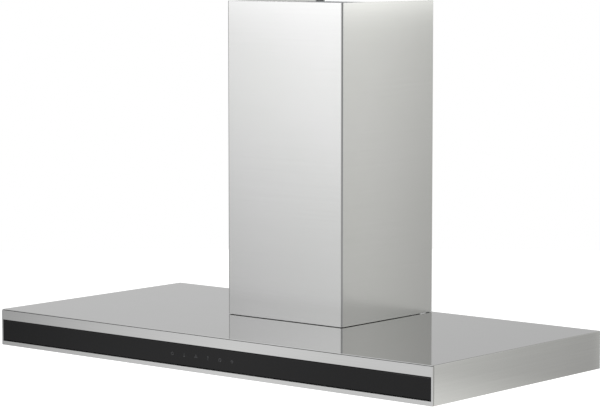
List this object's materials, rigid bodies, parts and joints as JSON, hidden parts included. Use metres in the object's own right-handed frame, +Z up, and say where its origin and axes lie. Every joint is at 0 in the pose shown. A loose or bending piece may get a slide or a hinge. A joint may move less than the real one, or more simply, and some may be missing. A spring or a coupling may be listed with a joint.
{
  "type": "chimney range hood",
  "caption": "Wall chimney range hood: flat steel canopy with a black glass touch strip, drop-down grease filters, a blower and a telescopic square chimney.",
  "frame": {"origin": "on the wall plane, at the middle of the canopy's rear wall, 30 mm above the canopy's lower edge", "axes": "+X to the right along the front, +Y into the wall, +Z up; the front faces -Y"},
  "size_m": [0.898, 0.436, 0.573],
  "materials": {
    "brushed_steel": "satin stainless sheet with fine lengthwise brushing",
    "zinc_steel": "zinc-plated steel, dull and faintly mottled",
    "aluminium": "bare aluminium, satin",
    "black_glass": "glossy black-backed glass with faint grey key icons",
    "lamp_lens": "frosted white diffuser",
    "dark_plastic": "black moulded plastic, fine texture",
    "grey_plastic": "grey moulded plastic",
    "circuit_board": "green solder mask",
    "cable_sheath": "pale grey PVC sheath"
  },
  "bodies": {
    "hood": {"blower_box": "zinc_steel", "blower_screw_front_left": "zinc_steel", "blower_screw_front_right": "zinc_steel", "blower_screw_rear_left": "zinc_steel", "blower_screw_rear_right": "zinc_steel", "cable_gland": "dark_plastic", "canopy_shell": "brushed_steel", "capacitor": "grey_plastic", "collar_screw_1": "zinc_steel", "collar_screw_2": "zinc_steel", "collar_screw_3": "zinc_steel", "collar_screw_4": "zinc_steel", "control_board": "circuit_board", "control_cable": "cable_sheath", "control_glass": "black_glass", "control_housing": "dark_plastic", "damper_pin": "zinc_steel", "electronics_box": "grey_plastic", "electronics_lid": "grey_plastic", "front_fascia": "brushed_steel", "icon_light_guide": "dark_plastic", "lamp_bezel_left": "brushed_steel", "lamp_bezel_right": "brushed_steel", "lamp_body_left": "aluminium", "lamp_body_right": "aluminium", "lamp_cable_left": "cable_sheath", "lamp_cable_right": "cable_sheath", "lamp_driver": "grey_plastic", "lamp_lens_left": "lamp_lens", "lamp_lens_right": "lamp_lens", "levelling_screw_left": "zinc_steel", "levelling_screw_right": "zinc_steel", "lower_chimney": "brushed_steel", "lower_wall_bracket": "zinc_steel", "motor": "zinc_steel", "motor_bracket": "zinc_steel", "motor_cable": "cable_sheath", "outlet_collar": "dark_plastic", "scroll_left_half": "grey_plastic", "scroll_right_half": "grey_plastic", "underside_panel": "brushed_steel", "wall_hook_left": "zinc_steel", "wall_hook_right": "zinc_steel"},
    "filter_left": {"filter_frame_left": "aluminium", "filter_mesh_left": "aluminium"},
    "filter_middle": {"filter_frame_middle": "aluminium", "filter_mesh_middle": "aluminium"},
    "filter_right": {"filter_frame_right": "aluminium", "filter_mesh_right": "aluminium"},
    "latch_left": {"filter_latch_left": "brushed_steel"},
    "latch_middle": {"filter_latch_middle": "brushed_steel"},
    "latch_right": {"filter_latch_right": "brushed_steel"},
    "wheel": {"impeller": "grey_plastic", "motor_shaft": "zinc_steel"},
    "flap_left": {"damper_flap_left": "dark_plastic"},
    "flap_right": {"damper_flap_right": "dark_plastic"},
    "chimney_upper": {"upper_chimney": "brushed_steel", "upper_wall_bracket": "zinc_steel"}
  },
  "joints": [
    {"name": "filter_left_drop", "type": "hinge", "parent": "hood", "child": "filter_left", "pos_m": [-0.272, -0.0345, -0.0285], "axis": [1, 0, 0], "range_deg": [0, 75]},
    {"name": "latch_left_pull", "type": "slide", "parent": "filter_left", "child": "latch_left", "axis": [0, 1, 0], "range_m": [0, 0.005], "stiffness_N_per_m": 300},
    {"name": "filter_middle_drop", "type": "hinge", "parent": "hood", "child": "filter_middle", "pos_m": [0, -0.0345, -0.0285], "axis": [1, 0, 0], "range_deg": [0, 75]},
    {"name": "latch_middle_pull", "type": "slide", "parent": "filter_middle", "child": "latch_middle", "axis": [0, 1, 0], "range_m": [0, 0.005], "stiffness_N_per_m": 300},
    {"name": "filter_right_drop", "type": "hinge", "parent": "hood", "child": "filter_right", "pos_m": [0.272, -0.0345, -0.0285], "axis": [1, 0, 0], "range_deg": [0, 75]},
    {"name": "latch_right_pull", "type": "slide", "parent": "filter_right", "child": "latch_right", "axis": [0, 1, 0], "range_m": [0, 0.005], "stiffness_N_per_m": 300},
    {"name": "wheel_spin", "type": "hinge", "parent": "hood", "child": "wheel", "pos_m": [0, -0.12, 0.138], "axis": [1, 0, 0], "continuous": true},
    {"name": "flap_left_open", "type": "hinge", "parent": "hood", "child": "flap_left", "pos_m": [0, -0.12, 0.326], "axis": [0, 1, 0], "range_deg": [0, 80]},
    {"name": "flap_right_open", "type": "hinge", "parent": "hood", "child": "flap_right", "pos_m": [0, -0.12, 0.326], "axis": [0, -1, 0], "range_deg": [0, 80]},
    {"name": "chimney_extend", "type": "slide", "parent": "hood", "child": "chimney_upper", "axis": [0, 0, 1], "range_m": [0, 0.4]}
  ]
}
